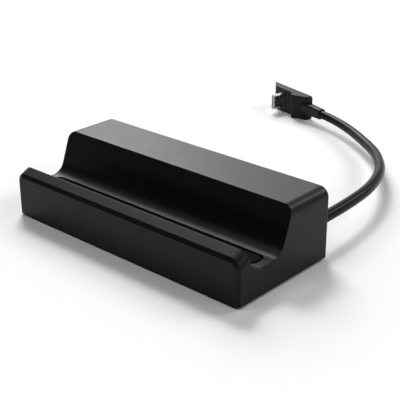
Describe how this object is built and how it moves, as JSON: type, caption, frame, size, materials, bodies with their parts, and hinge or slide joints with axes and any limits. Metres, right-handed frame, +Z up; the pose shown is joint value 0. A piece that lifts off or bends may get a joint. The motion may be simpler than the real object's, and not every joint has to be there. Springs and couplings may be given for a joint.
{
  "type": "handheld console dock",
  "caption": "Compact desk dock for a handheld console: a front lip and a leaning rest form a padded cradle, with a row of rear sockets and a short captive lead that ends in an angled plug.",
  "frame": {"origin": "centre of the dock's footprint on the table, at the bottom of the feet", "axes": "+X along the dock's length to the user's right, +Y to the back with the sockets, +Z up"},
  "size_m": [0.1264, 0.1819, 0.029],
  "materials": {
    "case_plastic": "fine moulded texture",
    "pad_rubber": "matt",
    "foot_rubber": "matt",
    "screw_steel": "dark plated",
    "board_laminate": "solder mask",
    "socket_plastic": "moulded",
    "socket_metal": "nickel plated",
    "contact_metal": "gold plated",
    "chip_plastic": "moulded",
    "can_metal": "drawn",
    "choke_plastic": "pressed",
    "cord_jacket": "satin",
    "plug_plastic": "satin",
    "plug_metal": "nickel plated"
  },
  "bodies": {
    "root": {"upper_housing": "case_plastic", "base_cover": "case_plastic", "cradle_pad": "pad_rubber", "feet": "foot_rubber", "case_screws": "screw_steel", "board_screws": "screw_steel", "circuit_board": "board_laminate", "network_body": "socket_plastic", "network_shield": "socket_metal", "network_contacts": "contact_metal", "usb_shell_1": "socket_metal", "usb_shell_2": "socket_metal", "usb_shell_3": "socket_metal", "usb_tongue_1": "socket_plastic", "usb_tongue_2": "socket_plastic", "usb_tongue_3": "socket_plastic", "video_shell": "socket_metal", "video_tongue": "socket_plastic", "display_shell": "socket_metal", "display_tongue": "socket_plastic", "power_shell": "socket_metal", "power_tongue": "socket_plastic", "hub_chip": "chip_plastic", "video_chip": "chip_plastic", "network_chip": "chip_plastic", "power_chip": "chip_plastic", "network_transformer": "chip_plastic", "crystals": "can_metal", "inductors": "choke_plastic", "capacitors": "can_metal", "lead_header": "socket_plastic", "lead_tail": "cord_jacket", "cord_gland": "cord_jacket", "cord": "cord_jacket", "plug_body": "plug_plastic", "plug_relief": "plug_plastic", "plug_tip": "plug_metal", "plug_tongue": "socket_plastic"}
  },
  "joints": []
}
